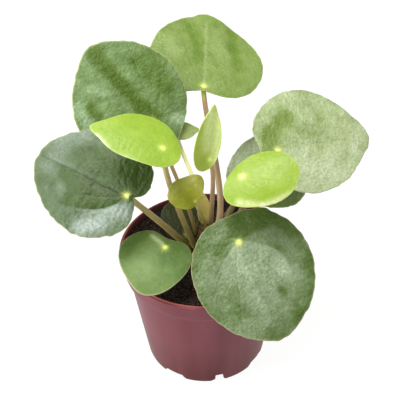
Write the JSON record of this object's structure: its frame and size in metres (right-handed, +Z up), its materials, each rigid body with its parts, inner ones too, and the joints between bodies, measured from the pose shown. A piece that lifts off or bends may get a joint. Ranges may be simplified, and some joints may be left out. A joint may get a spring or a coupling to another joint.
{
  "type": "potted chinese money plant",
  "caption": "Small house plant with round shield-shaped leaves on long stalks from one short trunk, standing in soil in a tapered plastic nursery pot.",
  "frame": {"origin": "middle of the pot's flat underside, where the pot rests on a table", "axes": "+Z up along the pot's axis, -Y towards the front that the picture shows, +X to the right in the picture"},
  "size_m": [0.2326, 0.2179, 0.217],
  "materials": {
    "pot_plastic": "satin moulded plastic, dusky mauve",
    "potting_soil": "loose dark potting soil, matt",
    "woody_stem": "brown bark, matt",
    "leaf_stalk": "smooth fleshy stalk, satin",
    "leaf_dark_green": "leathery leaf, waxy satin",
    "leaf_green": "leathery leaf, waxy satin",
    "leaf_pale_green": "leathery leaf, waxy satin",
    "leaf_lime": "young leathery leaf, waxy satin",
    "leaf_olive": "young leathery leaf, satin"
  },
  "bodies": {
    "root": {"pot": "pot_plastic", "soil": "potting_soil", "trunk": "woody_stem", "blade_back_left": "leaf_dark_green", "stalk_back_left": "leaf_stalk", "blade_left": "leaf_dark_green", "stalk_left": "leaf_stalk", "blade_lime_left": "leaf_lime", "stalk_lime_left": "leaf_stalk", "blade_top": "leaf_green", "stalk_top": "leaf_stalk", "blade_olive_small": "leaf_olive", "stalk_olive_small": "leaf_stalk", "blade_folded": "leaf_green", "stalk_folded": "leaf_stalk", "blade_behind": "leaf_green", "stalk_behind": "leaf_stalk", "blade_lime_right": "leaf_lime", "stalk_lime_right": "leaf_stalk", "blade_front_left": "leaf_green", "stalk_front_left": "leaf_stalk", "blade_front_right": "leaf_pale_green", "stalk_front_right": "leaf_stalk", "blade_youngest": "leaf_olive", "stalk_youngest": "leaf_stalk", "blade_low_right": "leaf_dark_green", "stalk_low_right": "leaf_stalk", "blade_right": "leaf_pale_green", "stalk_right": "leaf_stalk", "blade_low_left": "leaf_dark_green", "stalk_low_left": "leaf_stalk"}
  },
  "joints": []
}
